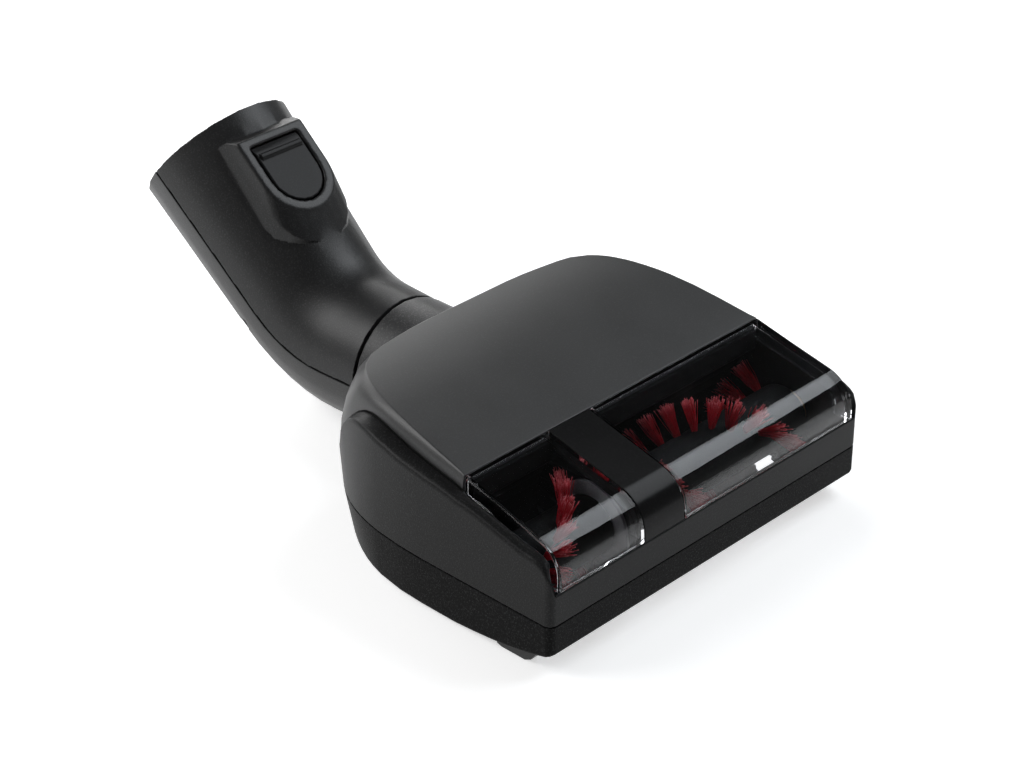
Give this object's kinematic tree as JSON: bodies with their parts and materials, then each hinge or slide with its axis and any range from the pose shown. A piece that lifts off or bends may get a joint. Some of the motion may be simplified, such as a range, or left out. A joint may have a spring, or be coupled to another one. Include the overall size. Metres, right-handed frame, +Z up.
{
  "type": "motorized vacuum hand brush",
  "caption": "Vacuum hand brush with a motor-driven roll behind a clear nose and a bent swivel handle socket with a release button.",
  "frame": {"origin": "middle of the overall width and length, on the floor the head stands on", "axes": "+X across the head, +Y from the front edge towards the handle socket, +Z up"},
  "size_m": [0.15, 0.254, 0.0994],
  "materials": {
    "black_plastic": "fine moulded grain",
    "satin_grey": "satin",
    "clear_plastic": "clear, polished",
    "gloss_black": "gloss",
    "bristle": "nylon bristle on a black core",
    "nylon": "smooth",
    "grey_plastic": "smooth",
    "cream_plastic": "smooth",
    "board": "lacquered",
    "rubber": "matt",
    "steel": "plain",
    "brass": "plain",
    "bronze": "sintered",
    "copper": "enamelled wire"
  },
  "bodies": {
    "head": {"base_housing": "black_plastic", "middle_housing": "black_plastic", "top_cover": "satin_grey", "window_left": "clear_plastic", "window_right": "clear_plastic", "belt_cover": "gloss_black", "chamber_liner": "black_plastic", "air_duct": "black_plastic", "roll_bearing_left": "bronze", "roll_bearing_right": "bronze", "drive_belt": "rubber", "motor_can": "steel", "motor_end_cap": "cream_plastic", "motor_strap": "steel", "sole_plate": "black_plastic", "lint_strip": "bristle", "front_glide_left": "nylon", "front_glide_right": "nylon", "rear_glide_left": "nylon", "rear_glide_right": "nylon", "screw_front_left": "steel", "screw_front_right": "steel", "screw_rear_left": "steel", "screw_rear_right": "steel", "circuit_board": "board", "capacitor": "nylon", "choke": "copper", "neck_tube": "black_plastic", "slip_ring_plate": "cream_plastic", "slip_ring_inner": "brass", "slip_ring_outer": "brass"},
    "brush_roll": {"roll_brush_left": "bristle", "roll_brush_right": "bristle", "roll_pulley": "grey_plastic", "roll_axle": "steel"},
    "motor_rotor": {"motor_shaft": "steel", "motor_pulley": "grey_plastic"},
    "sole_key": {"sole_lock": "grey_plastic"},
    "elbow": {"swivel_collar": "black_plastic", "snap_ring": "steel", "contact_finger_inner": "brass", "contact_finger_outer": "brass", "elbow_upper": "black_plastic", "elbow_lower": "black_plastic", "elbow_screw_left": "steel", "elbow_screw_right": "steel", "elbow_duct": "black_plastic", "socket_sleeve": "black_plastic", "mouth_ring": "black_plastic", "contact_block": "cream_plastic", "contact_pin_left": "brass", "contact_pin_right": "brass", "button_pin": "steel", "button_spring": "steel"},
    "button": {"release_button": "nylon"}
  },
  "joints": [
    {"name": "brush_roll_spin", "type": "hinge", "parent": "head", "child": "brush_roll", "pos_m": [0, -0.10098, 0.023], "axis": [1, 0, 0], "continuous": true},
    {"name": "motor_spin", "type": "hinge", "parent": "head", "child": "motor_rotor", "pos_m": [0, -0.04849, 0.03038], "axis": [1, 0, 0], "continuous": true},
    {"name": "sole_lock_turn", "type": "hinge", "parent": "head", "child": "sole_key", "pos_m": [0.048, -0.06698, 0.001], "axis": [0, 0, 1], "range_deg": [0, 90]},
    {"name": "elbow_twist", "type": "hinge", "parent": "head", "child": "elbow", "pos_m": [0, 0.01342, 0.0255], "axis": [0, 1, 0], "range_deg": [-90, 90]},
    {"name": "release_button_press", "type": "hinge", "parent": "elbow", "child": "button", "pos_m": [0, 0.06524, 0.07542], "axis": [-1, 0, 0], "range_deg": [0, 6], "stiffness_Nm_per_rad": 0.5, "springref_deg": -5.73, "deforming": ["button_spring"]}
  ],
  "couplings": [
    {"joint": "motor_spin", "follows": "brush_roll_spin", "ratio": 2.5}
  ]
}
